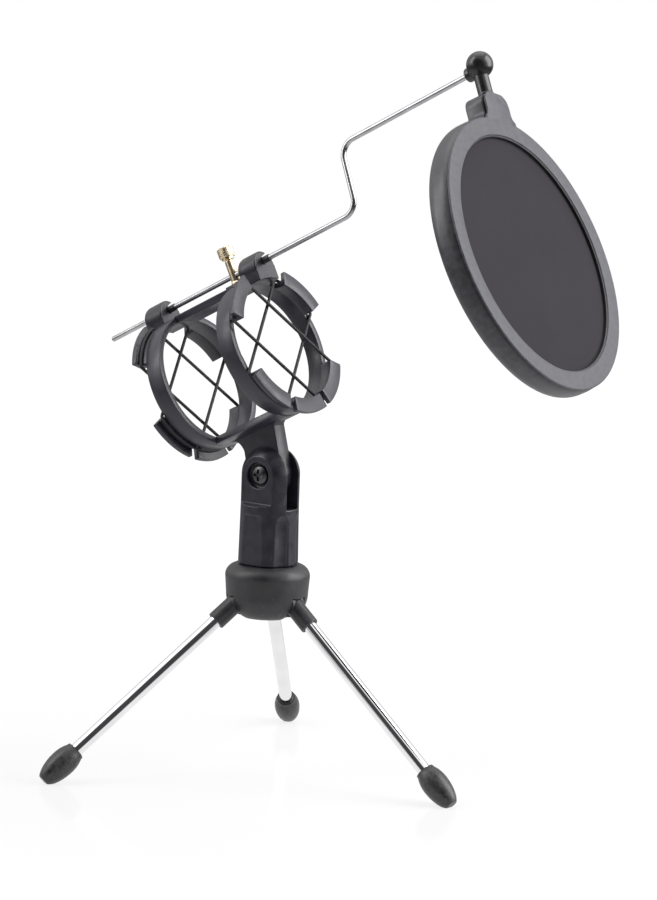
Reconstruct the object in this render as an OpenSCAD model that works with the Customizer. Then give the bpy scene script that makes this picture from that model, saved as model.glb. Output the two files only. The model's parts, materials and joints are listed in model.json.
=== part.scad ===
// Desktop microphone stand with a tilting shock-mount cradle and a swivelling pop filter.
// Millimetres. +Z is up, the origin is on the table under the hub, and the microphone
// points towards -Y and up. The stand is symmetric about the YZ plane, apart from the bent
// rod, which rests turned a little towards +X with the filter on its end.

/* [Tripod] */
// Radius from the hub axis to the tip of a foot
leg_reach = 103.5; // [95:0.5:115]
// Height of the leg pivots above the table
leg_pivot_z = 77.9; // [72:0.1:84]
// Radius from the hub axis to the leg pivots
leg_pivot_r = 13.5; // [13:0.1:14]
// Largest radius of the hub
hub_r = 19; // [18.5:0.1:21]
// Diameter of the steel leg tube
leg_tube_d = 6; // [5:0.1:6.4]
// Diameter of the moulded knuckle at the top of a leg
knuckle_d = 8.5; // [8.2:0.1:8.8]
// Largest diameter of a rubber foot
foot_d = 11.8; // [10:0.1:12.5]

/* [Swivel base] */
// Diameter of the barrel at the ears
barrel_d = 26; // [25:0.5:27]
// Diameter of the barrel at its lower end
barrel_low_d = 27; // [26:0.1:27.2]
// Height of the tilt axis above the table
pivot_z = 134.4; // [132:0.1:138]
// Width of the fork slot between the ears
slot_w = 8; // [7:0.1:8.6]
// Distance between the flat outer faces of the ears
ear_span = 19.6; // [18.5:0.1:20.5]
// Diameter of the tilt screw
tilt_screw_d = 5; // [4:0.1:5.5]

/* [Cradle] */
// Rest angle of the microphone axis above the horizontal
mic_tilt = 26.7; // [0:0.1:40]
// Distance from the tilt axis to the microphone axis
ring_rise = 51.2; // [50:0.1:54]
// How far the middle of the cradle sits ahead of the tilt axis
ring_set = 2.1; // [0:0.1:4]
// Distance between the outer faces of the two rings
cradle_len = 63; // [60:0.5:68]
// Inner radius of the hoops
hoop_ri = 28.3; // [27.5:0.1:28.6]
// Outer radius of the hoops
hoop_ro = 31.3; // [31:0.1:31.6]
// Outer radius of the toothed flanges
flange_r = 34.6; // [34:0.1:36]
// Distance of the elastic chords from the microphone axis
chord_in = 12.2; // [11:0.1:13]
// Diameter of the elastic cord
elastic_d = 1.5; // [1.2:0.1:1.5]

/* [Rod and filter] */
// Diameter of the bent steel rod
rod_d = 2.5; // [2:0.1:2.6]
// Distance from the microphone axis to the rod
rod_rise = 36.65; // [36:0.05:37.5]
// Rest angle of the rod's crank, turned from upright towards +X
rod_rest_turn = 10; // [-20:1:20]
// Length of rod behind the middle of the cradle
rod_back = 62; // [55:1:80]
// Distance from the middle of the cradle to the crank
crank_ahead = 89; // [80:1:100]
// Height of the crank
crank_h = 31.5; // [25:0.5:40]
// Distance from the middle of the cradle to the ball
ball_ahead = 168.2; // [150:0.1:190]
// Diameter of the ball
ball_d = 11.5; // [10:0.1:12]
// Distance from the rod down to the middle of the filter
filter_hang = 85.5; // [84:0.5:90]
// Outer radius of the filter
filter_r = 61.2; // [58:0.1:62]
// Radius of the filter's mesh opening
mesh_open_r = 52; // [50:0.1:53]
// Thickness of the filter rim
filter_t = 11.2; // [10.8:0.1:12]
// Rest turn of the filter about its stem
filter_rest_turn = 4.5; // [-15:0.5:15]

/* [Hidden] */

$fn = 64;
over = 1;                 // how far a cutter runs past the face it cuts
fit = 0.05;               // radial running clearance of a pin or a shaft

LEG_FRONT = 270;          // compass angle of each leg, counted from +X
LEG_LEFT = 150;
LEG_RIGHT = 30;

black = [0.17, 0.17, 0.18];
rubber = [0.10, 0.10, 0.11];
grey = [0.30, 0.30, 0.33];
chrome = [0.78, 0.79, 0.80];
brass = [0.83, 0.65, 0.32];

// Hub
hub_bottom = 69.9;
hub_bottom_r = 10.2;
hub_belly_z = 81;
hub_belly_r = hub_r - 0.6;
hub_rim_z = 88.6;
hub_top = 93.8;
hub_top_r = 13.4;
pocket_r = 5.5;
pocket_top = 84;
plate_r = 7;
plate_t = 1.5;
stud_d = 9.5;             // three-eighths inch stand thread
stud_top = 106;
stud_head_t = 4;
plate_screw_d = 3;
pin_d = 2.5;
pin_len = 18;

// Leg, measured along its axis from the pivot
foot_tip_z = 1.3;
leg_slope = atan2(leg_pivot_z - foot_tip_z, leg_reach - leg_pivot_r);
leg_len = norm([leg_pivot_z - foot_tip_z, leg_reach - leg_pivot_r]);
knuckle_len = 14.4;
knuckle_flat = knuckle_d - 0.3;
notch_gap = 0.3;
notch_w = knuckle_flat + 2*notch_gap;
notch_r = knuckle_d/2 + 0.4;
tube_start = 5.5;
foot_len = 20;
foot_start = leg_len - foot_len;
foot_grip = 7;
foot_top_r = 4.3;

// Swivel base
barrel_gap = 0.3;
barrel_bottom = hub_top + barrel_gap;
barrel_r = barrel_d/2;
barrel_low_r = barrel_low_d/2;
ledge_z = 121;
slot_bottom = 119.5;
slot_h = 30;
flute_r = 8;
flute_depth = 0.9;
flute_top = 113.5;        // where the round end of a flute begins
FLUTES = [64, 116, 244, 296];
flat_x = 12.2;            // from the axis to the flat below each ear
flat_top = 117;
adapter_d = 15.9;         // five-eighths inch thread
adapter_top = 108;
recess_d = 11.7;
recess_depth = 2.6;
screw_head_d = 8.6;
screw_head_t = 2.4;
cross_w = 1.3;
cross_l = 5.4;
cross_depth = 1.5;
nut_af = 8;
nut_t = 3.6;
nut_r = nut_af/2/cos(30); // from the axis to a corner

// Cradle, in the ring frame: X across, Y up from the microphone axis, Z along it
tongue_t = slot_w - 0.2;
tongue_r = 9.2;
ring_face = cradle_len/2;
hoop_back = 17.5;
hoop_front = 25.8;
lip_back = ring_face - 2.3;
tooth_ri = hoop_ri - 0.6;
groove_r = hoop_ro - 0.25;  // floor of the groove that the elastic lies in
slot_gap = 2.4;
diagonal_half = 20.4;     // half of the angle of a corner tooth
middle_half = 19;         // half of the angle of the bottom tooth
bridge_ro = hoop_ro + 0.5;
top_bridge_half = 15;
low_bridge_half = 18;
elastic_r = groove_r + elastic_d/2 + 0.1;
chord_half = acos(chord_in/elastic_r);
elastic_thin = 0.12;       // how much thinner the cord is where it bends
elastic_z_a = 28.4;
elastic_z_b = 26.7;

// Rod clips on the hoops
clip_r = 7;
clip_y = 34.3;
clip_len = 11.9;
clip_round = 3.5;           // rounding of the back edge
hook_len = 3.5;           // the part of the clip that is open
hook_turn = 25;           // the way the hook opens, from straight across to +X
front_clip_z = 33.2;      // front faces of the clips
rear_clip_z = -25.5;
neck_half_w = 6.8;        // neck that joins a clip to its hoop
neck_len = 7.9;
sleeve_d = rod_d + 0.7;
sleeve_back = 9.5;
sleeve_ahead = 4;
hook_play = 0.15;

// Clamp post and thumb screw
post_z = 15.2;
post_d = 4;
post_base_y = 32.6;
post_top_y = 44;
post_spigot_d = 2.6;
post_spigot_y = 29.5;
pad_w = 8;
thumb_shank_d = 2.9;
thumb_head_y = 44.5;
thumb_head_d = 7.3;
thumb_head_t = 5.5;
knurls = 20;
knurl_d = 0.7;

// Bent rod
bend_r = 7;
ball_grip = 1.5;

// Ball post
ball_rise = 1.9;          // how far the ball stands off the rod, up and forward
ball_set = 0.8;
collar_d = 6.4;
collar_len = 7;
post_stem_d = 6.4;
tab_top = filter_r + 11.7;
spigot_d = 5.2;
spigot_len = 8.5;

// Filter, in its own frame: Y up along the stem, Z out of its front face
half_t = filter_t/2;
mesh_t = 0.4;
mesh_z = 3.4;
mesh_r = 57.8;
spacer_ri = mesh_open_r + 1.2;
seat_z = mesh_z + mesh_t;
wall_ri = mesh_r + 0.1;
tab_half_w = 9.1;
tab_corner = 5.5;
tab_root = filter_r - 5;
face_z = half_t - 1;      // back of the thin face, where the two rings meet
filter_set = 1.3;         // how far the middle of the rim sits behind the stem

// Points of a quarter of an ellipse about c with half axes a and b, from angle a0 to a1
function arc(c, a, b, a0, a1, steps = 8) =
    [for (i = [0:steps]) let (t = a0 + (a1 - a0)*i/steps) c + [a*cos(t), b*sin(t)]];

// ---- frames -------------------------------------------------------------------------

// One leg: the origin is its pivot and X runs down the leg
module leg_frame(turn) {
    rotate([0, 0, turn]) translate([leg_pivot_r, 0, leg_pivot_z])
        rotate([0, leg_slope, 0]) children();
}

// The cradle: the origin is the tilt axis, Y is up and Z is along the microphone
module cradle_frame() {
    translate([0, 0, pivot_z]) rotate([90 - mic_tilt, 0, 0]) children();
}

// The rings: as the cradle, with the origin in the middle of the microphone axis
module ring_frame() {
    cradle_frame() translate([0, ring_rise, ring_set]) children();
}

// The rod: Z is its straight run and Y is its crank
module rod_frame() {
    ring_frame() translate([0, rod_rise, 0]) rotate([0, 0, -rod_rest_turn]) children();
}

module ball_frame() {
    rod_frame() translate([0, crank_h, ball_ahead]) children();
}

module filter_frame() {
    ball_frame() rotate([0, filter_rest_turn, 0]) translate([0, -filter_hang, -filter_set])
        children();
}

// A flat plate of thickness t across X, drawn with Z to the right and Y up
module plate_across(t) {
    rotate([0, -90, 0]) translate([0, 0, -t/2]) linear_extrude(t) children();
}

// A sector of a ring about Z, centred on the angle mid, drawn as a profile of r and z
module sector(mid, half) {
    rotate([0, 0, mid - half]) rotate_extrude(angle = 2*half, $fn = 120) children();
}

// ---- tripod -------------------------------------------------------------------------

module hub_body() {
    rotate_extrude($fn = 96) polygon(concat(
        [[0, hub_bottom]],
        arc([hub_bottom_r, hub_belly_z], hub_belly_r - hub_bottom_r,
            hub_belly_z - hub_bottom, -90, 0),
        arc([hub_top_r, hub_rim_z], hub_r - hub_top_r, hub_top - hub_rim_z, 0, 90),
        [[0, hub_top]]));
}

// The slot that a leg folds down in, seen from the side with the hub axis at the left
module notch(turn) {
    rise = notch_r/cos(leg_slope);
    reach = 30;
    rotate([0, 0, turn]) translate([leg_pivot_r, 0, leg_pivot_z])
        rotate([90, 0, 0]) translate([0, 0, -notch_w/2]) linear_extrude(notch_w)
            union() {
                circle(notch_r);
                polygon([[-notch_r, 0], [-notch_r, -reach], [reach, -reach],
                    [reach, rise - reach*tan(leg_slope)],
                    [notch_r*sin(leg_slope), notch_r*cos(leg_slope)]]);
            }
}

module pivot_pin(turn, d) {
    rotate([0, 0, turn]) translate([leg_pivot_r, pin_len/2, leg_pivot_z])
        rotate([90, 0, 0]) cylinder(d = d, h = pin_len);
}

module tripod_hub() {
    color(black) difference() {
        hub_body();
        for (turn = [LEG_FRONT, LEG_LEFT, LEG_RIGHT]) {
            notch(turn);
            pivot_pin(turn, pin_d);
        }
        translate([0, 0, hub_bottom - over]) {
            cylinder(r = pocket_r, h = pocket_top - hub_bottom + over);
            cylinder(r = plate_r, h = plate_t + over);
        }
        translate([0, 0, pocket_top - over])
            cylinder(d = stud_d, h = hub_top - pocket_top + 2*over);
    }
}

module hub_base_plate() {
    color(black) difference() {
        translate([0, 0, hub_bottom]) cylinder(r = plate_r, h = plate_t);
        translate([0, 0, hub_bottom - over]) cylinder(d = plate_screw_d, h = plate_t + 2*over);
    }
}

module base_plate_screw() {
    head_d = 5.6;
    head_t = 1.4;
    slot_cut = 0.8;
    color(chrome) difference() {
        union() {
            translate([0, 0, hub_bottom - head_t]) cylinder(d = head_d, h = head_t);
            translate([0, 0, hub_bottom]) cylinder(d = plate_screw_d, h = pocket_top - hub_bottom);
        }
        for (turn = [0, 90]) translate([0, 0, hub_bottom - head_t]) rotate([0, 0, turn])
            cube([3.6, 0.9, 2*slot_cut], center = true);
    }
}

module leg_pivot_pins() {
    color(chrome) for (turn = [LEG_FRONT, LEG_LEFT, LEG_RIGHT]) pivot_pin(turn, pin_d);
}

module hub_stud() {
    color(chrome) difference() {
        union() {
            translate([0, 0, pocket_top - stud_head_t]) cylinder(r = pocket_r - 0.1, h = stud_head_t);
            translate([0, 0, pocket_top])
                cylinder(d = stud_d, h = stud_top - pocket_top - 1);
            translate([0, 0, stud_top - 1]) cylinder(d1 = stud_d, d2 = stud_d - 2, h = 1);
        }
        translate([0, 0, pocket_top - stud_head_t - over])
            cylinder(d = plate_screw_d, h = stud_head_t + over);
    }
}

module knuckle(turn) {
    color(black) leg_frame(turn) difference() {
        intersection() {
            union() {
                rotate([0, 90, 0]) cylinder(d = knuckle_d, h = knuckle_len);
                rotate([90, 0, 0]) translate([0, 0, -knuckle_d/2])
                    cylinder(d = knuckle_d, h = knuckle_d);
            }
            cube([4*knuckle_len, knuckle_flat, 2*knuckle_d], center = true);
        }
        rotate([90, 0, 0]) translate([0, 0, -knuckle_d])
            cylinder(d = pin_d + 2*fit, h = 2*knuckle_d);
        translate([tube_start, 0, 0]) rotate([0, 90, 0]) cylinder(d = leg_tube_d, h = knuckle_len);
    }
}

module leg_tube(turn) {
    wall = 0.8;
    color(chrome) leg_frame(turn) translate([tube_start, 0, 0]) rotate([0, 90, 0])
        difference() {
            cylinder(d = leg_tube_d, h = foot_start + foot_grip - tube_start);
            translate([0, 0, -over])
                cylinder(d = leg_tube_d - 2*wall, h = foot_start + foot_grip - tube_start + 2*over);
        }
}

module foot(turn) {
    belly = 0.42*foot_len;
    color(rubber) difference() {
        leg_frame(turn) translate([foot_start, 0, 0]) rotate([0, 90, 0]) difference() {
            rotate_extrude() polygon(concat(
                [[0, 0]],
                arc([foot_top_r - 0.6, 0.6], 0.6, 0.6, -90, 0, 3),
                arc([0, belly], foot_d/2, 1.22*belly, -43, 0, 6),
                arc([0, belly], foot_d/2, (foot_len - belly)*1.12, 0, 63, 8),
                [[0, foot_len]]));
            translate([0, 0, -over]) cylinder(d = leg_tube_d, h = foot_grip + over);
        }
        translate([0, 0, -10]) cube([400, 400, 20], center = true);
    }
}

// ---- swivel base --------------------------------------------------------------------

module swivel_barrel() {
    color(black) difference() {
        union() {
            rotate_extrude($fn = 96) polygon([
                [0, barrel_bottom], [barrel_low_r - 0.5, barrel_bottom],
                [barrel_low_r, barrel_bottom + 0.5], [barrel_r, ledge_z], [barrel_r, pivot_z],
                [0, pivot_z]]);
            translate([0, 0, pivot_z]) sphere(r = barrel_r, $fn = 96);
        }
        // flat outer faces of the ears
        for (side = [-1, 1]) translate([side*(ear_span/2 + barrel_r), 0, ledge_z + slot_h])
            cube([2*barrel_r, 4*barrel_r, 2*slot_h], center = true);
        // fork slot
        translate([0, 0, slot_bottom + slot_h])
            cube([slot_w, 4*barrel_r, 2*slot_h], center = true);
        // a wide flute on each side of the front and the back, and a flat below each ear
        for (turn = FLUTES) rotate([0, 0, turn])
            translate([barrel_r + flute_r - flute_depth, 0, flute_top]) {
                mirror([0, 0, 1]) cylinder(r = flute_r, h = flute_top - barrel_bottom + over);
                sphere(r = flute_r);
            }
        for (side = [-1, 1])
            translate([side*(flat_x + barrel_r), 0, (barrel_bottom + flat_top - over)/2])
                cube([2*barrel_r, 4*barrel_r, flat_top - barrel_bottom + over], center = true);
        translate([0, 0, barrel_bottom - over])
            cylinder(d = adapter_d, h = adapter_top - barrel_bottom + over);
        // tilt screw, its head and its nut
        translate([-barrel_r, 0, pivot_z]) rotate([0, 90, 0])
            cylinder(d = tilt_screw_d, h = 2*barrel_r);
        translate([-ear_span/2 - over, 0, pivot_z]) rotate([0, 90, 0])
            cylinder(d = recess_d, h = recess_depth + over);
        translate([ear_span/2 - nut_t, 0, pivot_z]) rotate([0, 90, 0])
            cylinder(r = nut_r, h = nut_t + over, $fn = 6);
    }
}

module thread_adapter() {
    groove = 0.35;
    color(brass) difference() {
        translate([0, 0, barrel_bottom + 0.4])
            cylinder(d = adapter_d, h = adapter_top - barrel_bottom - 0.4);
        translate([0, 0, barrel_bottom - over])
            cylinder(d = stud_d + 2*fit, h = adapter_top - barrel_bottom + 2*over);
        // screwdriver slot across the end
        translate([0, 0, adapter_top]) cube([adapter_d + over, 1.6, 4*groove], center = true);
    }
}

module tilt_screw() {
    tip = ear_span/2 - 0.4;
    seat = -ear_span/2 + recess_depth;
    color(chrome) translate([0, 0, pivot_z]) rotate([0, 90, 0]) difference() {
        union() {
            translate([0, 0, seat]) cylinder(d = tilt_screw_d, h = tip - seat);
            translate([0, 0, seat - screw_head_t + 0.8])
                cylinder(d = screw_head_d, h = screw_head_t - 0.8);
            translate([0, 0, seat - screw_head_t])
                cylinder(d1 = screw_head_d - 2, d2 = screw_head_d, h = 0.8);
        }
        for (turn = [0, 90]) translate([0, 0, seat - screw_head_t]) rotate([0, 0, turn])
            cube([cross_l, cross_w, 2*cross_depth], center = true);
    }
}

module tilt_nut() {
    color(chrome) translate([ear_span/2 - nut_t, 0, pivot_z]) rotate([0, 90, 0]) difference() {
        cylinder(r = nut_r, h = nut_t - 0.3, $fn = 6);
        translate([0, 0, -over]) cylinder(d = tilt_screw_d, h = nut_t + 2*over);
    }
}

// ---- cradle -------------------------------------------------------------------------

// The tongue, the stem and the lower bridge are one moulding
module stem_bracket() {
    stem_top = ring_rise - bridge_ro + 0.6;
    color(black) difference() {
        union() {
            cradle_frame() plate_across(tongue_t) union() {
                circle(tongue_r, $fn = 96);
                polygon(concat(
                    [[-tongue_r, 0], [-8.2, 9.5]],
                    arc([-12.6, 13.4], 5.4, 6.6, 0, 90, 6),
                    [[-15.5, stem_top], [15.5, stem_top], [13.4, stem_top - 1.6], [10.2, 3.5],
                     [tongue_r, 0]]));
            }
            ring_frame() sector(270, low_bridge_half)
                polygon([[hoop_ri, -hoop_back], [bridge_ro, -hoop_back],
                         [bridge_ro, hoop_back], [hoop_ri, hoop_back]]);
        }
        cradle_frame() rotate([0, 90, 0]) translate([0, 0, -barrel_r])
            cylinder(d = tilt_screw_d + 2*fit, h = 2*barrel_r);
    }
}

// Joins the hoops over the microphone and carries the clamp post
module top_bridge() {
    color(black) ring_frame() difference() {
        union() {
            sector(90, top_bridge_half)
                polygon([[hoop_ri, -hoop_back], [bridge_ro, -hoop_back],
                         [bridge_ro, hoop_back], [hoop_ri, hoop_back]]);
            translate([-pad_w/2, hoop_ro - 1, post_z - pad_w/2])
                cube([pad_w, post_base_y - hoop_ro + 1, hoop_back - post_z + pad_w/2]);
        }
        translate([0, post_spigot_y, post_z]) rotate([-90, 0, 0])
            cylinder(d = post_spigot_d, h = post_base_y);
    }
}

// The profile of a tooth: a lip over the groove that the elastic lies in
module tooth_profile() {
    polygon([[hoop_ri + 0.6, hoop_front - 1], [groove_r, hoop_front - 1], [groove_r, lip_back],
             [flange_r, lip_back], [flange_r, ring_face - 0.5], [flange_r - 0.5, ring_face],
             [tooth_ri, ring_face], [tooth_ri, ring_face - 3]]);
}

module hoop_with_teeth() {
    difference() {
        union() {
            rotate_extrude($fn = 120)
                polygon([[hoop_ri, hoop_back], [hoop_ro, hoop_back],
                         [hoop_ro, hoop_front], [hoop_ri, hoop_front]]);
            for (mid = [45:90:315]) sector(mid, diagonal_half) tooth_profile();
            sector(270, middle_half) tooth_profile();
        }
        // a slot for each end of each chord
        for (mid = [45:90:315]) rotate([0, 0, mid])
            translate([chord_in, 0, hoop_front + ring_face/2])
                cube([slot_gap, 3*flange_r, ring_face], center = true);
    }
}

// A clip for the rod on a neck, with its front face at z: a closed eye that opens in front as a hook
module clip_solid(z) {
    difference() {
        union() {
            translate([0, clip_y, z - clip_len]) rotate_extrude() polygon(concat(
                [[0, 0]],
                arc([clip_r - clip_round, clip_round], clip_round, clip_round, -90, 0, 5),
                [[clip_r, clip_len], [0, clip_len]]));
            translate([-neck_half_w, hoop_ri - 4, z - neck_len])
                cube([2*neck_half_w, clip_y - hoop_ri + 4, neck_len]);
        }
        translate([0, 0, z - clip_len - over])
            cylinder(r = hoop_ri + 0.3, h = clip_len + 2*over, $fn = 120);
    }
}

module clip_cuts(z) {
    channel_r = sleeve_d/2 + hook_play;
    translate([0, rod_rise, z - clip_len - over])
        cylinder(d = sleeve_d + 2*fit, h = clip_len - hook_len + 1.5*over);
    translate([0, rod_rise, z - hook_len]) rotate([0, 0, hook_turn]) {
        cylinder(r = channel_r, h = hook_len + over);
        translate([0, -channel_r, 0]) cube([2*clip_r, 2*channel_r, hook_len + over]);
    }
}

module front_hoop() {
    color(black) ring_frame() difference() {
        union() {
            hoop_with_teeth();
            clip_solid(front_clip_z);
        }
        clip_cuts(front_clip_z);
    }
}

module rear_hoop() {
    color(black) ring_frame() difference() {
        union() {
            mirror([0, 0, 1]) hoop_with_teeth();
            clip_solid(rear_clip_z);
        }
        clip_cuts(rear_clip_z);
    }
}

// One loop of cord: two taut chords, and an arc round the outside of a tooth at each end
module elastic_loop(turn, z) {
    chord_len = 2*elastic_r*sin(chord_half) + elastic_d/2;
    arc_span = 180 - 2*chord_half;
    rotate([0, 0, turn]) translate([0, 0, z]) for (side = [0, 180]) rotate([0, 0, side]) {
        translate([chord_in, chord_len/2, 0]) rotate([90, 0, 0])
            cylinder(d = elastic_d, h = chord_len, $fn = 24);
        rotate([0, 0, chord_half]) rotate_extrude(angle = arc_span, $fn = 120)
            translate([elastic_r, 0]) circle(d = elastic_d - elastic_thin, $fn = 24);
    }
}

module elastics() {
    elastic_loop(45, elastic_z_a);
    elastic_loop(135, elastic_z_b);
}

module front_elastics() {
    color(rubber) ring_frame() elastics();
}

module rear_elastics() {
    color(rubber) ring_frame() mirror([0, 0, 1]) elastics();
}

module clamp_post() {
    color(brass) ring_frame() difference() {
        translate([0, 0, post_z]) rotate([-90, 0, 0]) union() {
            translate([0, 0, post_base_y]) cylinder(d = post_d, h = post_top_y - post_base_y);
            translate([0, 0, post_spigot_y])
                cylinder(d = post_spigot_d, h = post_base_y - post_spigot_y + 0.5);
        }
        translate([0, rod_rise, post_z - post_d]) cylinder(d = rod_d + 2*fit, h = 2*post_d);
        translate([0, rod_rise, post_z]) rotate([-90, 0, 0])
            cylinder(d = thumb_shank_d + 2*fit, h = post_top_y);
    }
}

module thumb_screw() {
    tip_y = rod_rise + rod_d/2 + 0.1;
    color(brass) ring_frame() translate([0, 0, post_z]) rotate([-90, 0, 0]) difference() {
        union() {
            translate([0, 0, tip_y]) cylinder(d = thumb_shank_d, h = thumb_head_y - tip_y);
            translate([0, 0, thumb_head_y]) cylinder(d = thumb_head_d - 1.6, h = 1);
            translate([0, 0, thumb_head_y + 0.8])
                cylinder(d = thumb_head_d, h = thumb_head_t - 0.8);
        }
        for (k = [1:knurls]) rotate([0, 0, 360*k/knurls])
            translate([thumb_head_d/2 + 0.1, 0, thumb_head_y + 0.8])
                cylinder(d = knurl_d, h = thumb_head_t, $fn = 16);
    }
}

// ---- rod ----------------------------------------------------------------------------

module rod_sleeves() {
    color(rubber) rod_frame() for (z = [rear_clip_z, front_clip_z])
        translate([0, 0, z - sleeve_back]) difference() {
            cylinder(d = sleeve_d, h = sleeve_back + sleeve_ahead);
            translate([0, 0, -over])
                cylinder(d = rod_d + 2*fit, h = sleeve_back + sleeve_ahead + 2*over);
        }
}

// A quarter bend about X: from along +Z to along +Y, starting at the origin
module rod_bend() {
    translate([0, bend_r, 0]) rotate([0, -90, 0]) rotate([0, 0, -90])
        rotate_extrude(angle = 90, $fn = 96) translate([bend_r, 0]) circle(d = rod_d, $fn = 32);
}

module bent_rod() {
    chamfer = 0.4;
    color(chrome) rod_frame() union() {
        translate([0, 0, -rod_back + chamfer])
            cylinder(d = rod_d, h = rod_back + crank_ahead - bend_r - chamfer, $fn = 32);
        translate([0, 0, -rod_back])
            cylinder(d1 = rod_d - 2*chamfer, d2 = rod_d, h = chamfer, $fn = 32);
        translate([0, 0, crank_ahead - bend_r]) rod_bend();
        translate([0, bend_r, crank_ahead]) rotate([-90, 0, 0])
            cylinder(d = rod_d, h = crank_h - 2*bend_r, $fn = 32);
        translate([0, crank_h, crank_ahead + bend_r]) rotate([180, 0, 0]) rod_bend();
        translate([0, crank_h, crank_ahead + bend_r])
            cylinder(d = rod_d, h = ball_ahead - crank_ahead - bend_r + ball_grip, $fn = 32);
    }
}

module ball_post() {
    stem_len = filter_hang - tab_top - 0.2;
    color(rubber) ball_frame() difference() {
        union() {
            translate([0, ball_rise, ball_set]) sphere(d = ball_d, $fn = 64);
            translate([0, 0, -collar_len]) cylinder(d = collar_d, h = collar_len);
            rotate([90, 0, 0]) cylinder(d = post_stem_d, h = stem_len);
            rotate([90, 0, 0]) cylinder(d = spigot_d, h = stem_len + spigot_len);
        }
        translate([0, 0, -2*collar_len])
            cylinder(d = rod_d + 2*fit, h = 2*collar_len + ball_grip + 0.2);
    }
}

// ---- filter -------------------------------------------------------------------------

// The outline of the tab that the stem plugs into
module tab_outline() {
    side = tab_half_w - tab_corner;
    union() {
        translate([-tab_half_w, tab_root]) square([2*tab_half_w, tab_top - tab_corner - tab_root]);
        translate([-side, tab_root]) square([2*side, tab_top - tab_root]);
        for (end = [-1, 1]) translate([end*side, tab_top - tab_corner]) circle(tab_corner, $fn = 48);
        polygon([[-tab_half_w - 2, tab_root], [tab_half_w + 2, tab_root],
                 [tab_half_w, filter_r + 3], [-tab_half_w, filter_r + 3]]);
    }
}

// The thin face, with a plug that holds the front mesh in the rear ring, and its half of the tab
module filter_front_ring() {
    plug_r = wall_ri - 0.1;
    color(grey) filter_frame() union() {
        rotate_extrude($fn = 180) polygon([
            [mesh_open_r, seat_z], [plug_r, seat_z], [plug_r, face_z], [filter_r - 0.2, face_z],
            [filter_r, face_z + 0.2], [filter_r - 0.2, half_t - 0.3], [filter_r - 0.8, half_t],
            [mesh_open_r + 1, half_t], [mesh_open_r, half_t - 0.6]]);
        translate([0, 0, face_z]) linear_extrude(half_t - face_z) difference() {
            tab_outline();
            circle(filter_r - 3, $fn = 180);
        }
    }
}

// The deep ring that both meshes sit in, with the block that takes the stem
module filter_rear_ring() {
    back = -half_t;
    color(grey) filter_frame() difference() {
        union() {
            rotate_extrude($fn = 180) polygon([
                [mesh_open_r, back], [filter_r - 2.6, back], [filter_r - 1.1, back + 0.7],
                [filter_r - 0.3, back + 2.2], [filter_r, back + 4.2], [filter_r, face_z - 4],
                [filter_r - 0.4, face_z - 1.2], [filter_r - 1, face_z], [wall_ri, face_z],
                [wall_ri, -seat_z], [mesh_open_r, -seat_z]]);
            translate([0, 0, back + 0.4]) linear_extrude(face_z - back - 0.4) difference() {
                tab_outline();
                circle(filter_r - 3, $fn = 180);
            }
        }
        translate([0, tab_top + over, filter_set]) rotate([90, 0, 0])
            cylinder(d = spigot_d + 2*fit, h = spigot_len + over + 0.5);
    }
}

module mesh_spacer() {
    color(black) filter_frame() rotate_extrude($fn = 180)
        translate([spacer_ri, -mesh_z]) square([mesh_r - spacer_ri, 2*mesh_z]);
}

module front_mesh() {
    color(black) filter_frame() translate([0, 0, mesh_z])
        cylinder(r = mesh_r, h = mesh_t, $fn = 180);
}

module rear_mesh() {
    color(black) filter_frame() translate([0, 0, -mesh_z - mesh_t])
        cylinder(r = mesh_r, h = mesh_t, $fn = 180);
}

// ---- what is drawn ------------------------------------------------------------------

tripod_hub();
hub_base_plate();
base_plate_screw();
leg_pivot_pins();
hub_stud();
knuckle(LEG_FRONT);  // knuckle_front
leg_tube(LEG_FRONT);  // tube_front
foot(LEG_FRONT);  // foot_front
knuckle(LEG_LEFT);  // knuckle_left
leg_tube(LEG_LEFT);  // tube_left
foot(LEG_LEFT);  // foot_left
knuckle(LEG_RIGHT);  // knuckle_right
leg_tube(LEG_RIGHT);  // tube_right
foot(LEG_RIGHT);  // foot_right
swivel_barrel();
thread_adapter();
tilt_screw();
tilt_nut();
stem_bracket();
top_bridge();
front_hoop();
rear_hoop();
front_elastics();
rear_elastics();
clamp_post();
thumb_screw();
rod_sleeves();
bent_rod();
ball_post();
filter_front_ring();
filter_rear_ring();
mesh_spacer();
front_mesh();
rear_mesh();
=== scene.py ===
"""Desktop microphone stand with a pop filter: its looks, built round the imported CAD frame.

Shapes are drawn in millimetres in the frame of the part that they belong to, and turned into metres as
they are placed. Every frame comes from the record's joints and mounts or from the boxes of CAD nodes.
"""
import json
import math

import bmesh
import bpy
from mathutils import Matrix, Vector


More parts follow.
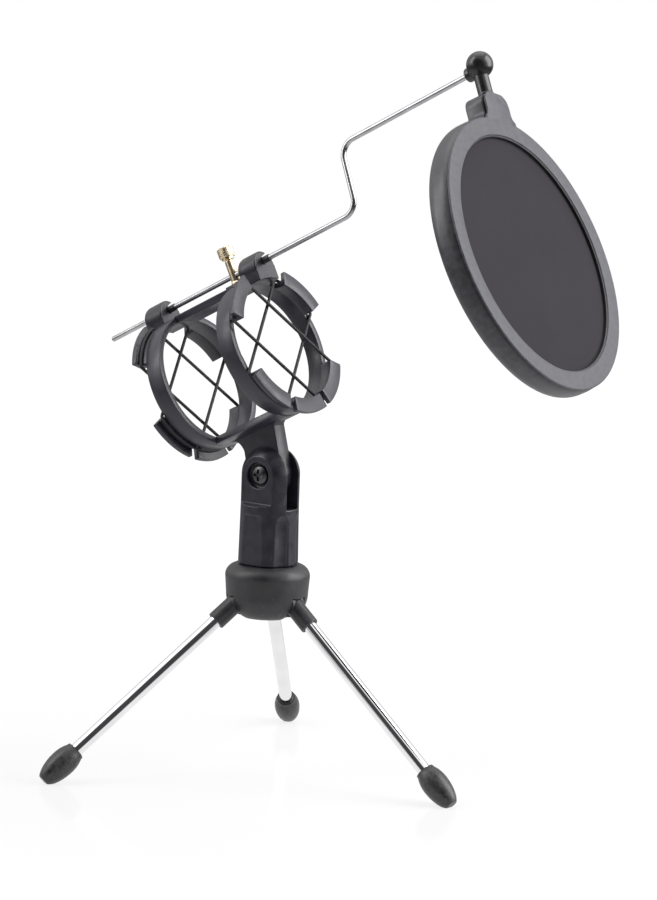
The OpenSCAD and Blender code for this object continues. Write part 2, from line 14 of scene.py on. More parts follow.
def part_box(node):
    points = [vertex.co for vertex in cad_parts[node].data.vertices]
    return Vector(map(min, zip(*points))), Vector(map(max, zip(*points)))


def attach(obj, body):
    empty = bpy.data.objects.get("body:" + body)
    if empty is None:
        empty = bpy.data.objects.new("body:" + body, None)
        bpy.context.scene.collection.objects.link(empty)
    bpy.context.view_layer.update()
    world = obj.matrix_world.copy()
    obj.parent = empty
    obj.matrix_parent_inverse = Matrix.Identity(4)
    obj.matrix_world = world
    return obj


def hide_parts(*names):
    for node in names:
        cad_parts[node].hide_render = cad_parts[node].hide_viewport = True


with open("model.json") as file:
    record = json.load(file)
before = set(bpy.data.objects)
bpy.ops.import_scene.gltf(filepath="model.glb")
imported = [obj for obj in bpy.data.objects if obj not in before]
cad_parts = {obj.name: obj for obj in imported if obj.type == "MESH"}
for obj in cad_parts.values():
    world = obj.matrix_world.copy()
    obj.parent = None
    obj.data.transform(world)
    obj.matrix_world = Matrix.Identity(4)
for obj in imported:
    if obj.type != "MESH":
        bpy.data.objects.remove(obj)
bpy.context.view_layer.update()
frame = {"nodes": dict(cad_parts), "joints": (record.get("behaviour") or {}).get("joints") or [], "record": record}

MM = 0.001
scene = bpy.context.scene
JOINTS = {j["name"]: j for j in frame["joints"]}
MOUNTS = {m["name"]: m for m in frame["record"]["mounts"]}


# ---- frames --------------------------------------------------------------------------------------

def axes(origin, z, y):
    """The frame at origin with that Z, and its Y as near to y as it can be."""
    z = Vector(z).normalized()
    x = Vector(y).cross(z).normalized()
    placed = Matrix((x, z.cross(x), z)).transposed().to_4x4()
    placed.translation = Vector(origin)
    return placed


def middle(node):
    """The middle of a CAD node's box."""
    low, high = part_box(node)
    return (low + high) / 2


AIM = MOUNTS["microphone_axis"]["axis"]
CRANK = JOINTS["filter_swivel"]["axis"]
UP = (0, 0, 1)
ROW = Matrix.Identity(4)
TILT = axes(JOINTS["cradle_tilt"]["pos_m"], AIM, UP)
RING = axes(MOUNTS["microphone_axis"]["pos_m"], AIM, UP)
ROD = axes(JOINTS["rod_turn"]["pos_m"], AIM, CRANK)
BALL = axes(JOINTS["ball_turn"]["pos_m"], AIM, CRANK)
FILTER = axes((middle("front_mesh") + middle("rear_mesh")) / 2,
              middle("front_mesh") - middle("rear_mesh"), CRANK)


def leg_frame(side):
    """The origin is the leg's pivot, Z runs down the leg and Y is its hinge."""
    fold = JOINTS[f"{side}_leg_fold"]
    pivot = Vector(fold["pos_m"])
    return axes(pivot, middle(f"tube_{side}") - pivot, fold["axis"])


def span_along(node, at):
    """The lowest and highest Z of a CAD node in the frame at, in millimetres."""
    inward = at.inverted()
    heights = [(inward @ Vector(v.co)).z / MM for v in frame["nodes"][node].data.vertices]
    return min(heights), max(heights)


# ---- shapes, in millimetres ----------------------------------------------------------------------

def arc(cx, cy, a, b, start, end, steps=10):
    """Points of an ellipse about (cx, cy), between two angles in degrees."""
    angles = [math.radians(start + (end - start) * i / steps) for i in range(steps + 1)]
    return [(cx + a * math.cos(t), cy + b * math.sin(t)) for t in angles]


def revolve(outline, steps=96, span=360, start=0):
    """A closed outline of (r, z) swept about Z."""
    bm = bmesh.new()
    whole = span >= 360
    on_axis = {i: bm.verts.new((0, 0, z)) for i, (r, z) in enumerate(outline) if r < 1e-6}
    rings = []
    for k in range(steps if whole else steps + 1):
        t = math.radians(start + span * k / steps)
        rings.append([on_axis.get(i) or bm.verts.new((r * math.cos(t), r * math.sin(t), z))
                      for i, (r, z) in enumerate(outline)])
    count = len(outline)
    for k in range(steps):
        this, following = rings[k], rings[(k + 1) % len(rings)]
        for i in range(count):
            j = (i + 1) % count
            corners = list(dict.fromkeys([this[i], this[j], following[j], following[i]]))
            if len(corners) > 2:
                bm.faces.new(corners)
    if not whole:
        bm.faces.new(rings[0])
        bm.faces.new(rings[-1])
    bmesh.ops.recalc_face_normals(bm, faces=bm.faces)
    return bm


def prism(outline, low, high):
    """A flat outline of (x, y), from z low to z high."""
    bm = bmesh.new()
    rings = [[bm.verts.new((x, y, z)) for x, y in outline] for z in (low, high)]
    bm.faces.new(rings[0])
    bm.faces.new(rings[1])
    for i in range(len(outline)):
        j = (i + 1) % len(outline)
        bm.faces.new([rings[0][i], rings[0][j], rings[1][j], rings[1][i]])
    bmesh.ops.recalc_face_normals(bm, faces=bm.faces)
    return bm


def block(low, high):
    """A box between two opposite corners."""
    (x0, y0, z0), (x1, y1, z1) = low, high
    return prism([(x0, y0), (x1, y0), (x1, y1), (x0, y1)], z0, z1)


def rod(radius, low, high, steps=64):
    """A cylinder along Z."""
    return revolve([(0, low), (radius, low), (radius, high), (0, high)], steps)


def ball(radius, steps=64):
    """A sphere about the origin."""
    side = arc(0, 0, radius, radius, -90, 90, steps // 2)[1:-1]
    return revolve([(0, -radius), *side, (0, radius)], steps)


def tube_rings(bm, points, radius, sides, closed, relief):
    """A ring of corners at each point of a path, square to it."""
    rings, side, along = [], None, 0.0
    count = len(points)
    for k, p in enumerate(points):
        after = points[(k + 1) % count] if closed or k + 1 < count else p
        before = points[k - 1] if closed or k else p
        heading = (after - before).normalized()
        if side is None:
            side = heading.orthogonal().normalized()
        side = (side - heading * side.dot(heading)).normalized()
        other = heading.cross(side)
        ring = []
        for i in range(sides):
            t = 2 * math.pi * i / sides
            r = radius + (relief(along, t) if relief else 0)
            ring.append(bm.verts.new(p + (side * math.cos(t) + other * math.sin(t)) * r))
        rings.append(ring)
        along += (after - p).length
    return rings


def tube(path, radius, sides=20, closed=False, relief=None):
    """A round bar along a path. relief(along, around) is added to its radius."""
    bm = bmesh.new()
    rings = tube_rings(bm, [Vector(p) for p in path], radius, sides, closed, relief)
    count = len(rings)
    for k in range(count if closed else count - 1):
        this, following = rings[k], rings[(k + 1) % count]
        shift = 0
        if closed and k == count - 1:  # the rings may have turned on their way round
            shift = min(range(sides), key=lambda s: (this[0].co - following[s].co).length)
        for i in range(sides):
            j = (i + 1) % sides
            bm.faces.new([this[i], this[j], following[(j + shift) % sides],
                          following[(i + shift) % sides]])
    if not closed:
        bm.faces.new(rings[0])
        bm.faces.new(rings[-1])
    bmesh.ops.recalc_face_normals(bm, faces=bm.faces)
    return bm


def turned(bm, degrees=0, axis="Z", at=(0, 0, 0)):
    """The shape, turned about an axis through the origin and then moved."""
    turn = Matrix.Rotation(math.radians(degrees), 4, axis)
    bmesh.ops.transform(bm, matrix=Matrix.Translation(Vector(at)) @ turn, verts=bm.verts)
    return bm


def across(bm):
    """The shape, with its own X, Y and Z laid along Z, Y and -X."""
    bmesh.ops.transform(bm, matrix=Matrix.Rotation(math.radians(-90), 4, "Y"), verts=bm.verts)
    return bm


def mirrored(bm):
    """The shape, mirrored in its XY plane."""
    bmesh.ops.scale(bm, vec=(1, 1, -1), verts=bm.verts)
    bmesh.ops.reverse_faces(bm, faces=bm.faces)
    return bm


def softened(bm, width, steps=2, sharper_than=30):
    """The shape, with its sharp edges rounded."""
    limit = math.radians(sharper_than)
    edges = [e for e in bm.edges if len(e.link_faces) == 2 and e.calc_face_angle() > limit]
    bmesh.ops.bevel(bm, geom=edges, offset=width, segments=steps, profile=0.5, affect="EDGES",
                    clamp_overlap=True)
    return bm


def together(*shapes):
    """Several closed shapes as one mesh."""
    whole = bmesh.new()
    for bm in shapes:
        mesh = as_mesh(bm)
        whole.from_mesh(mesh)
        bpy.data.meshes.remove(mesh)
    return whole


def as_mesh(bm):
    """The shape as mesh data, with the working copy freed."""
    mesh = bpy.data.meshes.new("shape")
    bm.to_mesh(mesh)
    bm.free()
    return mesh


def moulded(adds, cuts=(), cell=0.3, passes=4):
    """All of adds less all of cuts, remeshed in cells of that size and smoothed like a moulding."""
    made = []
    for bm in [*adds, *cuts]:
        made.append(bpy.data.objects.new("tool", as_mesh(bm)))
        scene.collection.objects.link(made[-1])
    base = made[0]
    for i, tool in enumerate(made[1:], 1):
        join = base.modifiers.new("join", "BOOLEAN")
        join.operation = "UNION" if i < len(adds) else "DIFFERENCE"
        join.solver = "MANIFOLD"
        join.object = tool
    remesh = base.modifiers.new("remesh", "REMESH")
    remesh.mode = "VOXEL"
    remesh.voxel_size = cell
    smooth = base.modifiers.new("smooth", "SMOOTH")
    smooth.factor = 0.5
    smooth.iterations = passes
    bpy.context.view_layer.update()
    result = base.evaluated_get(bpy.context.evaluated_depsgraph_get())
    mesh = bpy.data.meshes.new_from_object(result)
    for tool in made:
        old = tool.data
        bpy.data.objects.remove(tool)
        bpy.data.meshes.remove(old)
    return mesh


def piece(name, shape, at, body, material, nodes=(), crease=32):
    """Places a shape, drawn in millimetres, in the frame at. It rides on a body and replaces nodes."""
    mesh = shape if isinstance(shape, bpy.types.Mesh) else as_mesh(shape)
    mesh.name = name
    mesh.transform(Matrix.Scale(MM, 4))
    mesh.materials.clear()
    mesh.materials.append(material)
    mesh.polygons.foreach_set("use_smooth", [True] * len(mesh.polygons))
    if crease:
        mesh.set_sharp_from_angle(angle=math.radians(crease))
    o = bpy.data.objects.new(name, mesh)
    scene.collection.objects.link(o)
    o.matrix_world = at
    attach(o, body)
    if nodes:
        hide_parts(*nodes)
    return o


# ---- materials -----------------------------------------------------------------------------------

def link(tree, source, target):
    tree.links.new(source, target)


def noise(tree, coords, size_mm, detail=3.0, stretch=(1, 1, 1)):
    """Noise with features of about that size, stretched along the piece's own axes."""
    mapping = tree.nodes.new("ShaderNodeMapping")
    mapping.inputs["Scale"].default_value = stretch
    link(tree, coords, mapping.inputs["Vector"])
    texture = tree.nodes.new("ShaderNodeTexNoise")
    texture.inputs["Scale"].default_value = 1 / (size_mm * MM)
    texture.inputs["Detail"].default_value = detail
    link(tree, mapping.outputs["Vector"], texture.inputs["Vector"])
    return texture.outputs["Fac"]


def spread(tree, value, low, high, source=(0.3, 0.7)):
    """The value, mapped from the source range to low and high."""
    node = tree.nodes.new("ShaderNodeMapRange")
    node.inputs["From Min"].default_value, node.inputs["From Max"].default_value = source
    node.inputs["To Min"].default_value, node.inputs["To Max"].default_value = low, high
    link(tree, value, node.inputs["Value"])
    return node.outputs["Result"]


def blend(tree, factor, first, second):
    """A mix of two colours, each a tuple or a socket."""
    node = tree.nodes.new("ShaderNodeMix")
    node.data_type = "RGBA"
    link(tree, factor, node.inputs["Factor"])
    for value, socket in ((first, node.inputs["A"]), (second, node.inputs["B"])):
        if isinstance(value, tuple):
            socket.default_value = (*value, 1)
        else:
            link(tree, value, socket)
    return node.outputs["Result"]


def emboss(tree, shader, height, strength, depth_mm):
    """Shows a pattern as relief of that depth."""
    bump = tree.nodes.new("ShaderNodeBump")
    bump.inputs["Strength"].default_value = strength
    bump.inputs["Distance"].default_value = depth_mm * MM
    link(tree, height, bump.inputs["Height"])
    link(tree, bump.outputs["Normal"], shader.inputs["Normal"])


CONVEX = (0.51, 0.6)  # pointiness at which an edge starts to look worn, and is fully worn


def surface(name, dark, light, rough, blotch=14, grain=0.5, depth=0.02, lift=0.3, stretch=(1, 1, 1),
            edges=0.0, **constants):
    """A finish whose colour drifts between two shades, with uneven gloss and a fine raised grain.

    blotch and grain are the sizes of the drift and of the grain, and depth is how deep the grain is, in
    millimetres. edges is how far worn convex edges go towards the light shade. The constants are set on
    the shader itself.
    """
    material = bpy.data.materials.new(name)
    material.use_nodes = True
    tree = material.node_tree
    shader = tree.nodes["Principled BSDF"]
    coords = tree.nodes.new("ShaderNodeTexCoord").outputs["Object"]
    drift = noise(tree, coords, blotch)
    fine = noise(tree, coords, grain, 2, stretch)
    colour = blend(tree, spread(tree, drift, 0, 1), dark, light)
    if edges:
        point = tree.nodes.new("ShaderNodeNewGeometry").outputs["Pointiness"]
        worn = tuple(min(1, c * (1 + edges)) for c in light)
        colour = blend(tree, spread(tree, point, 0, 1, CONVEX), colour, worn)
    link(tree, colour, shader.inputs["Base Color"])
    link(tree, spread(tree, drift, *rough), shader.inputs["Roughness"])
    emboss(tree, shader, fine, lift, depth)
    for socket, value in constants.items():
        shader.inputs[socket.replace("_", " ")].default_value = value
    return material


HUB = surface("hub_plastic", (0.016, 0.0155, 0.018), (0.029, 0.028, 0.032), (0.38, 0.52), blotch=6,
              edges=0.5)
BLACK = surface("black_plastic", (0.011, 0.0102, 0.0155), (0.021, 0.0195, 0.029), (0.28, 0.44), blotch=5,
                edges=0.7)
RUBBER = surface("rubber", (0.012, 0.012, 0.013), (0.042, 0.042, 0.045), (0.30, 0.50), blotch=1.8,
                 grain=0.35)
CHROME = surface("chrome", (0.74, 0.74, 0.75), (0.86, 0.86, 0.87), (0.05, 0.12), blotch=20, grain=0.25,
                 depth=0.003, Metallic=1.0)
STEEL = surface("dark_steel", (0.05, 0.05, 0.055), (0.12, 0.12, 0.125), (0.28, 0.45), blotch=2,
                grain=0.3, Metallic=1.0)
ROD_STEEL = surface("rod_steel", (0.36, 0.36, 0.37), (0.50, 0.50, 0.51), (0.22, 0.32), blotch=9,
                    grain=0.25, depth=0.004, Metallic=1.0)
BRASS = surface("brass", (0.90, 0.72, 0.46), (1.0, 0.85, 0.62), (0.18, 0.32), blotch=3, grain=0.25,
                Metallic=1.0)
FACE_GREY = surface("face_plastic", (0.041, 0.0405, 0.049), (0.078, 0.077, 0.093), (0.46, 0.60),
                    blotch=2.5, grain=0.7, depth=0.03, lift=0.6)
# the face's plastic drawn darker: painted shade for the shell's side, which faces away from the key light
SHELL_GREY_PAINTED_SHADE = surface("filter_plastic", (0.032, 0.032, 0.037), (0.056, 0.056, 0.064), (0.30, 0.44),
                     blotch=2.5, grain=0.7, depth=0.03)
# painted shade: a near-black finish that stands in for the shadow on the wall of the front opening
PAINTED_SHADE = surface("painted_shade_plastic", (0.002, 0.002, 0.002), (0.004, 0.004, 0.005), (0.8, 0.95), blotch=6,
                grain=0.7)
GLOSS = surface("gloss_black", (0.010, 0.010, 0.011), (0.018, 0.018, 0.020), (0.20, 0.30), blotch=5,
                grain=0.8, depth=0.006)
CORD = surface("elastic", (0.010, 0.010, 0.012), (0.026, 0.026, 0.030), (0.55, 0.75), blotch=1.2,
               grain=0.2, depth=0.05)


# ---- camera, light and floor ---------------------------------------------------------------------

LOOK_AT = Vector((14.35, -20.8, 145.9)) * MM
AZIMUTH, ELEVATION, ROLL = (math.radians(a) for a in (-54.11, 7.94, 1.99))
DISTANCE = 1466.3 * MM
LENS = 132.04

back = Vector((math.sin(AZIMUTH) * math.cos(ELEVATION), -math.cos(AZIMUTH) * math.cos(ELEVATION),
               math.sin(ELEVATION)))
level = Vector((math.cos(AZIMUTH), math.sin(AZIMUTH), 0))
above = back.cross(level)
view = Matrix((level * math.cos(ROLL) + above * math.sin(ROLL),
               above * math.cos(ROLL) - level * math.sin(ROLL), back)).transposed().to_4x4()
view.translation = LOOK_AT + back * DISTANCE
camera = bpy.data.objects.new("camera", bpy.data.cameras.new("camera"))
camera.data.lens = LENS
camera.data.sensor_width = 36
camera.data.clip_start, camera.data.clip_end = 0.05, 40
camera.matrix_world = view
scene.collection.objects.link(camera)
scene.camera = camera
scene.view_settings.view_transform = "Standard"


ROOM_LIGHT, ROOM_GREY, ROOM_DARK = (1.2, 1.2, 1.2), (0.5, 0.5, 0.5), (0.06, 0.06, 0.063)
DIFFUSE_LIGHT, SEEN_LIGHT = 0.34, 1.0  # the room's brightness for matt surfaces and for the camera
BEHIND_REACH, BEHIND_FADE = (0.75, 0.75, 0.9), (0.8, 1.2)
FRONT_AIM, FRONT_ACROSS = (-0.863, -0.433, 0.26), (-0.324, 0.87, 0.373)
FRONT_REACH, FRONT_FADE = (0.93, 0.62, 0.9), (0.88, 1.12)


def length(tree, vector):
    """How long a vector is."""
    node = tree.nodes.new("ShaderNodeVectorMath")
    node.operation = "LENGTH"
    link(tree, vector, node.inputs[0])
    return node.outputs["Value"]


def zone(tree, direction, sideways, reach):
    """An oval patch of the room: 0 in its middle and 1 at its edge.

    reach is its size along sideways, square to that, and in depth.
    """
    centre = Vector(direction).normalized()
    side = Vector(sideways)
    side = (side - centre * side.dot(centre)).normalized()
    facing = Matrix((side, centre.cross(side), centre)).transposed()
    patch = tree.nodes.new("ShaderNodeMapping")
    patch.vector_type = "TEXTURE"
    patch.inputs["Location"].default_value = centre
    patch.inputs["Rotation"].default_value = facing.to_euler()
    patch.inputs["Scale"].default_value = reach
    link(tree, tree.nodes.new("ShaderNodeTexCoord").outputs["Generated"], patch.inputs["Vector"])
    return length(tree, patch.outputs["Vector"])


def studio():
    """A white room, as the camera sees it.

    Reflections find a dark zone where the photographer stands and a grey one behind the stand.
    """
    world = bpy.data.worlds.new("studio")
    world.use_nodes = True
    scene.world = world
    tree = world.node_tree
    room = tree.nodes["Background"]
    behind = zone(tree, -back, level, BEHIND_REACH)
    colour = blend(tree, spread(tree, behind, 0, 1, BEHIND_FADE), ROOM_GREY, ROOM_LIGHT)
    front = zone(tree, FRONT_AIM, FRONT_ACROSS, FRONT_REACH)
    colour = blend(tree, spread(tree, front, 0, 1, FRONT_FADE), ROOM_DARK, colour)
    link(tree, colour, room.inputs["Color"])
    parts = [room.outputs["Background"]]
    for strength in (DIFFUSE_LIGHT, SEEN_LIGHT):
        plain = tree.nodes.new("ShaderNodeBackground")
        plain.inputs["Color"].default_value = (1, 1, 1, 1)
        plain.inputs["Strength"].default_value = strength
        parts.append(plain.outputs["Background"])
    rays = tree.nodes.new("ShaderNodeLightPath")
    shown = mixed(tree, rays.outputs["Is Diffuse Ray"], parts[0], parts[1])
    shown = mixed(tree, rays.outputs["Is Camera Ray"], shown, parts[2])
    link(tree, shown, tree.nodes["World Output"].inputs["Surface"])


def mixed(tree, factor, first, second):
    """A mix of two shaders. The factor is a socket or a number."""
    node = tree.nodes.new("ShaderNodeMixShader")
    if isinstance(factor, float):
        node.inputs["Fac"].default_value = factor
    else:
        link(tree, factor, node.inputs["Fac"])
    link(tree, first, node.inputs[1])
    link(tree, second, node.inputs[2])
    return node.outputs["Shader"]


def softbox(name, direction, distance, width, height, watts):
    """An area light that faces the stand, from a direction given as right, up and towards the camera."""
    light = bpy.data.lights.new(name, "AREA")
    light.shape = "RECTANGLE"
    light.size = width
    light.size_y = height
    light.energy = watts
    place = LOOK_AT + view.to_3x3() @ Vector(direction).normalized() * distance
    o = bpy.data.objects.new(name, light)
    o.location = place
    o.rotation_euler = (LOOK_AT - place).to_track_quat("-Z", "Y").to_euler()
    scene.collection.objects.link(o)


FLOOR_WHITE, FLOOR_ROUGH = (0.82, 0.82, 0.82, 1), 0.11
FLOOR_GLOSS, FLOOR_GLOW = 0.43, 0.72  # shares of gloss in the lit floor, and of glow in the seen one
GLOW_NEAR, GLOW_FAR, GLOW_FADE = (1.10, 1.10, 1.10), (1.27, 1.27, 1.27), (0.15, 0.6)
MIRROR_NEAR, MIRROR_FAR, MIRROR_FADE = (1.0, 1.0, 1.0), (0.17, 0.17, 0.18), (0.12, 0.75)


def faded(tree, away, near, far, reach):
    """A glow that changes from near to far over that reach, in metres from the stand."""
    glow = tree.nodes.new("ShaderNodeEmission")
    link(tree, blend(tree, spread(tree, away, 0, 1, reach), near, far), glow.inputs["Color"])
    return glow.outputs["Emission"]


def table_top():
    """White and a little glossy. Reflections of it fade to grey away from the stand."""
    material = bpy.data.materials.new("floor")
    material.use_nodes = True
    tree = material.node_tree
    tree.nodes.remove(tree.nodes["Principled BSDF"])
    matt = tree.nodes.new("ShaderNodeBsdfDiffuse")
    matt.inputs["Color"].default_value = FLOOR_WHITE
    gloss = tree.nodes.new("ShaderNodeBsdfGlossy")
    gloss.inputs["Roughness"].default_value = FLOOR_ROUGH
    away = length(tree, tree.nodes.new("ShaderNodeTexCoord").outputs["Object"])
    glow = faded(tree, away, GLOW_NEAR, GLOW_FAR, GLOW_FADE)
    mirror = faded(tree, away, MIRROR_NEAR, MIRROR_FAR, MIRROR_FADE)
    rays = tree.nodes.new("ShaderNodeLightPath")
    lit = mixed(tree, FLOOR_GLOSS, matt.outputs["BSDF"], gloss.outputs["BSDF"])
    seen = mixed(tree, FLOOR_GLOW, lit, glow)
    shown = mixed(tree, rays.outputs["Is Camera Ray"], matt.outputs["BSDF"], seen)
    shown = mixed(tree, rays.outputs["Is Glossy Ray"], shown, mirror)
    link(tree, shown, tree.nodes["Material Output"].inputs["Surface"])
    return material


studio()
softbox("key", (0.885, 0.45, 0.125), distance=1.2, width=0.9, height=1.3, watts=19)
softbox("fill", (-0.76, 0.60, 0.20), distance=1.1, width=0.45, height=0.95, watts=5)
softbox("top", (0, 1, -0.1), distance=1.2, width=0.9, height=0.9, watts=3)

FLOOR_HALF, FLOOR_DEPTH = 4000, 20
slab = block((-FLOOR_HALF, -FLOOR_HALF, -FLOOR_DEPTH), (FLOOR_HALF, FLOOR_HALF, 0))
floor = bpy.data.objects.new("floor", as_mesh(slab))
floor.data.transform(Matrix.Scale(MM, 4))
floor.data.materials.append(table_top())
scene.collection.objects.link(floor)


# ---- tripod --------------------------------------------------------------------------------------

SIDES = {"front": 270, "left": 150, "right": 30}  # the way each leg points, in degrees
HUB_LOW, HUB_TOP = (corner.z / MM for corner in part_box("tripod_hub"))
HUB_R, HUB_TOP_R, SHOULDER = 19.0, 13.4, 5.2
BELLY_R, HUB_LOW_R, BELLY_RISE = 18.4, 10.2, 11.1
PLATE_R, PLATE_SEAT = 7.0, 1.5
PIVOT_R = 13.5
KNUCKLE_D, KNUCKLE_LEN, KNUCKLE_FLAT = 8.5, 14.4, 8.2
KNUCKLE_EDGE, SOCKET_DEPTH, SOCKET_GAP = 0.5, 3, 0.12
NOTCH_GAP, NOTCH_REACH = 0.35, 30
TUBE_R = 3.0
FOOT_LEN, FOOT_R = 20.0, 5.9


def leg_slope(side):
    """How far a leg points below level, in degrees."""
    return math.degrees(math.asin(-(leg_frame(side).to_3x3() @ Vector((0, 0, 1))).z))


def notch():
    """Room for a leg to fold, drawn about its pivot with the leg towards +X."""
    half = KNUCKLE_FLAT / 2 + NOTCH_GAP
    radius = KNUCKLE_D / 2 + NOTCH_GAP
    slope = math.radians(leg_slope("front"))
    ahead = radius / math.cos(slope) - NOTCH_REACH * math.tan(slope)
    outline = [*arc(0, 0, radius, radius, 180, 90 - math.degrees(slope), 16), (NOTCH_REACH, ahead),
               (NOTCH_REACH, -NOTCH_REACH), (-radius, -NOTCH_REACH)]
    return turned(prism(outline, -half, half), 90, "X")


def hub():
    """A deep cup with a domed shoulder and a slot for each leg."""
    belly = arc(HUB_LOW_R, HUB_LOW + BELLY_RISE, BELLY_R - HUB_LOW_R, BELLY_RISE, -90, 0, 14)
    shoulder = arc(HUB_TOP_R, HUB_TOP - SHOULDER, HUB_R - HUB_TOP_R, SHOULDER, 0, 90, 14)
    body = revolve([(0, HUB_LOW), *belly, *shoulder, (0, HUB_TOP)], 128)
    cuts = [rod(PLATE_R, HUB_LOW - 1, HUB_LOW + PLATE_SEAT)]
    for side, turn in SIDES.items():
        pivot_z = JOINTS[f"{side}_leg_fold"]["pos_m"][2] / MM
        cuts.append(turned(turned(notch(), at=(PIVOT_R, 0, pivot_z)), turn))
    return moulded([body], cuts, cell=0.28, passes=5)


piece("hub_cup", hub(), ROW, "tripod_base", HUB, ["tripod_hub"], crease=0)


def knuckle():
    """The hinge end of a leg: round, with flat cheeks and a socket for the tube."""
    r, edge, cheek = KNUCKLE_D / 2, KNUCKLE_EDGE, KNUCKLE_FLAT / 2
    wide, top = 20, 40
    arm = revolve([(0, 0), (r, 0), *arc(r - edge, KNUCKLE_LEN - edge, edge, edge, 0, 90, 4),
                   (0, KNUCKLE_LEN)], 64)
    hinge = turned(rod(r, -r, r), 90, "X")
    cheeks = [block((-wide, -wide, -wide), (wide, -cheek, top)),
              block((-wide, cheek, -wide), (wide, wide, top))]
    socket = rod(TUBE_R + SOCKET_GAP, KNUCKLE_LEN - SOCKET_DEPTH, KNUCKLE_LEN + 1)
    return moulded([arm, hinge], [*cheeks, socket], cell=0.2, passes=3)


def leg_tube(start, end):
    """Thin steel tube, open at both ends, with its rims turned in a little."""
    wall, rim = 0.8, 0.25
    return revolve([(TUBE_R - rim, start), (TUBE_R, start + rim), (TUBE_R, end - rim),
                    (TUBE_R - rim, end), (TUBE_R - wall, end), (TUBE_R - wall, start)], 64)


def foot(start):
    """A pointed rubber cap with a rolled rim at its mouth."""
    mouth, rim, depth = 4.3, 0.45, 3
    ahead = 0.42 * FOOT_LEN
    belly = start + ahead
    outline = [(TUBE_R - 0.3, start + depth), (TUBE_R + 0.05, start + 0.5),
               *arc(mouth - rim, start + rim, rim, rim, 200, 20, 6),
               *arc(0, belly, FOOT_R, 1.22 * ahead, -40, 0, 8),
               *arc(0, belly, FOOT_R, 1.12 * (FOOT_LEN - ahead), 6, 63, 12),
               (0, start + FOOT_LEN), (0, start + depth)]
    return revolve(outline, 64)


for side in SIDES:
    at = leg_frame(side)
    body = f"{side}_leg"
    tube_from, tube_to = span_along(f"tube_{side}", at)
    foot_from, _ = span_along(f"foot_{side}", at)
    piece(f"{side}_knuckle", knuckle(), at, body, HUB, [f"knuckle_{side}"], crease=0)
    piece(f"{side}_tube", leg_tube(tube_from, tube_to), at, body, CHROME, [f"tube_{side}"])
    piece(f"{side}_foot", foot(foot_from), at, body, RUBBER, [f"foot_{side}"])


# ---- swivel base ---------------------------------------------------------------------------------

BARREL_R, BARREL_LOW_R = 13.0, 13.5
BARREL_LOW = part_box("swivel_barrel")[0].z / MM
PIVOT_Z = JOINTS["cradle_tilt"]["pos_m"][2] / MM
EAR_X = 9.8
SLOT_HALF = 4.0
LEDGE_Z, SLOT_LOW, CLEAR_Z = 121.0, 119.5, 160.0
RECESS_R, RECESS_DEPTH = 5.85, 2.6
FLUTE_R, FLUTE_DEPTH, FLUTE_TOP = 8.0, 0.9, 113.5
FLUTES = (64, 116, 244, 296)  # the way each flute faces, in degrees
FLAT_X, FLAT_TOP = 12.2, 117.0
CUT_WIDE, CUT_FAR = 20, 30  # well past the barrel's sides
SCREW_R, SCREW_SHANK_R, SCREW_TIP = 4.3, 2.45, -17.3
HEAD_DEPTH = 1.7  # from the top of the head to the level that the screw is drawn from


def flute(turn):
    """A shallow groove up the barrel's side, with a round top."""
    low = BARREL_LOW - 2
    groove = revolve([(0, low), (FLUTE_R, low), *arc(0, FLUTE_TOP, FLUTE_R, FLUTE_R, 0, 90, 16)], 64)
    return turned(turned(groove, at=(BARREL_R + FLUTE_R - FLUTE_DEPTH, 0, 0)), turn)


def ear_cuts(turn):
    """The flat face of an ear, the flat below it, and the seat for the screw's head or nut."""
    ledge = LEDGE_Z - 0.2
    face = [(EAR_X, LEDGE_Z + 0.7), (BARREL_R + 0.2, ledge), (CUT_FAR, ledge), (CUT_FAR, CLEAR_Z),
            (EAR_X, CLEAR_Z)]
    side = turned(prism(face, -CUT_WIDE, CUT_WIDE), 90, "X")
    flat = block((FLAT_X, -CUT_WIDE, BARREL_LOW - 2), (CUT_FAR, CUT_WIDE, FLAT_TOP))
    seat = turned(turned(rod(RECESS_R, -1, RECESS_DEPTH), -90, "Y"), at=(EAR_X, 0, PIVOT_Z))
    return [turned(cut, turn) for cut in (side, flat, seat)]


def barrel():
    """A tapered body that opens into two ears with flat outer faces.

    Low down it has a wide flute on each side of its front and back, and a flat below each ear.
    """
    low = BARREL_LOW
    body = revolve([(0, low), (BARREL_LOW_R - 0.5, low), (BARREL_LOW_R, low + 0.5),
                    (BARREL_R, LEDGE_Z), *arc(0, PIVOT_Z, BARREL_R, BARREL_R, 0, 90, 20)], 128)
    fork = block((-SLOT_HALF, -CUT_WIDE, SLOT_LOW), (SLOT_HALF, CUT_WIDE, CLEAR_Z))
    cuts = [fork, *[flute(turn) for turn in FLUTES], *ear_cuts(0), *ear_cuts(180)]
    return moulded([body], cuts, cell=0.24, passes=3)


def screw():
    """A pan head with a worn cross recess, drawn with its head towards +Z."""
    brim, rise, dome = -0.7, 0.2, 1.5
    arm, half, recess, over = 2.6, 0.6, 0.4, 3
    head = revolve([(0, brim), (SCREW_R, brim), *arc(0, rise, SCREW_R, dome, 0, 90, 12)], 64)
    shank = rod(SCREW_SHANK_R, SCREW_TIP, -0.5)
    cross = [softened(block((-x, -y, recess), (x, y, over)), 0.15)
             for x, y in ((arm, half), (half, arm))]
    return moulded([head, shank], cross, cell=0.11, passes=3)


piece("swivel_body", barrel(), ROW, "swivel_base", BLACK, ["swivel_barrel"], crease=0)
HEAD_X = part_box("tilt_screw")[0].x + HEAD_DEPTH * MM
HEAD_SEAT = axes((HEAD_X, 0, PIVOT_Z * MM), (-1, 0, 0), UP)
piece("cross_screw", screw(), HEAD_SEAT, "swivel_base", STEEL, ["tilt_screw"], crease=0)


# ---- cradle --------------------------------------------------------------------------------------

